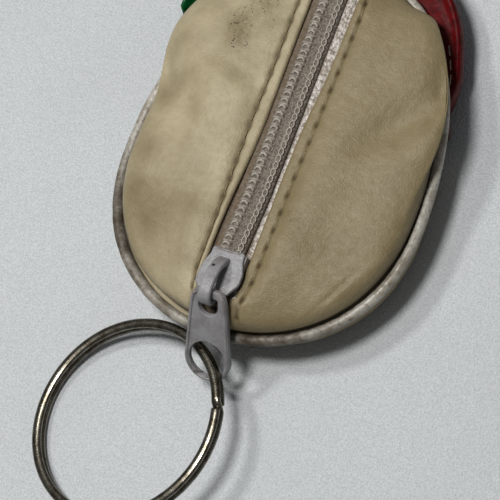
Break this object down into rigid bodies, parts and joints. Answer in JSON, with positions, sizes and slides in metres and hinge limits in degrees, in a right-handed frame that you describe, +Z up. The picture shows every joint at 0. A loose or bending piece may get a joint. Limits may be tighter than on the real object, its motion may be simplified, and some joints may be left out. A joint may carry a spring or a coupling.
{
  "type": "zip coin purse with key ring",
  "caption": "Small oval soft vinyl purse with a zip along its back, piped seam, sliding zip slider, hinged pull tab and split key ring.",
  "frame": {"origin": "on the flat resting face of the front, under the zip's centre line, 3.4 mm beyond the purse's widest line", "axes": "+Z up out of the zip side, +Y along the zip away from the key ring, +X to the right of the zip"},
  "size_m": [0.0498, 0.0919, 0.0171],
  "materials": {
    "cream_vinyl": "soft semi-gloss vinyl with a fine grain, scuffed and stained",
    "brown_vinyl": "semi-gloss vinyl",
    "green_vinyl": "glossy vinyl",
    "red_vinyl": "glossy vinyl",
    "white_foam": "open-cell foam",
    "grey_lining": "plain woven cloth",
    "white_piping_vinyl": "semi-gloss vinyl, dirty white",
    "white_cord": "twisted cord",
    "white_tape": "knitted tape",
    "white_nylon": "greyed nylon",
    "cream_thread": "twisted sewing thread",
    "grey_enamel_zinc": "worn grey-white enamel on die-cast zinc",
    "nickel_steel": "dulled nickel plate on spring steel"
  },
  "bodies": {
    "purse": {"back_panel_left": "cream_vinyl", "back_panel_right": "cream_vinyl", "front_panel_cream": "cream_vinyl", "front_band_brown": "brown_vinyl", "front_panel_green": "green_vinyl", "front_panel_red": "red_vinyl", "front_padding": "white_foam", "front_lining": "grey_lining", "piping_cover": "white_piping_vinyl", "piping_cord": "white_cord", "zip_tape_left": "white_tape", "zip_tape_right": "white_tape", "zip_coil_left": "white_nylon", "zip_coil_right": "white_nylon", "topstitch_left": "cream_thread", "topstitch_right": "cream_thread", "near_end_tack": "cream_thread", "far_end_tack": "cream_thread"},
    "slider": {"zip_slider": "grey_enamel_zinc"},
    "tab": {"pull_tab": "grey_enamel_zinc"},
    "ring": {"split_ring": "nickel_steel"}
  },
  "joints": [
    {"name": "slider_travel", "type": "slide", "parent": "purse", "child": "slider", "axis": [0, 1, 0], "range_m": [0, 0.0292], "deforming": ["zip_coil_left", "zip_coil_right"]},
    {"name": "tab_swing", "type": "hinge", "parent": "slider", "child": "tab", "pos_m": [0, -0.0223, 0.0153], "axis": [-1, 0, 0], "range_deg": [0, 187]},
    {"name": "ring_swing", "type": "hinge", "parent": "tab", "child": "ring", "pos_m": [0.00104, -0.03207, 0.00457], "axis": [-0.9511, -0.208, -0.2286], "range_deg": [0, 27]}
  ],
  "couplings": [
    {"joint": "tab_swing", "follows": "slider_travel", "rad_per_m": 111.7}
  ]
}
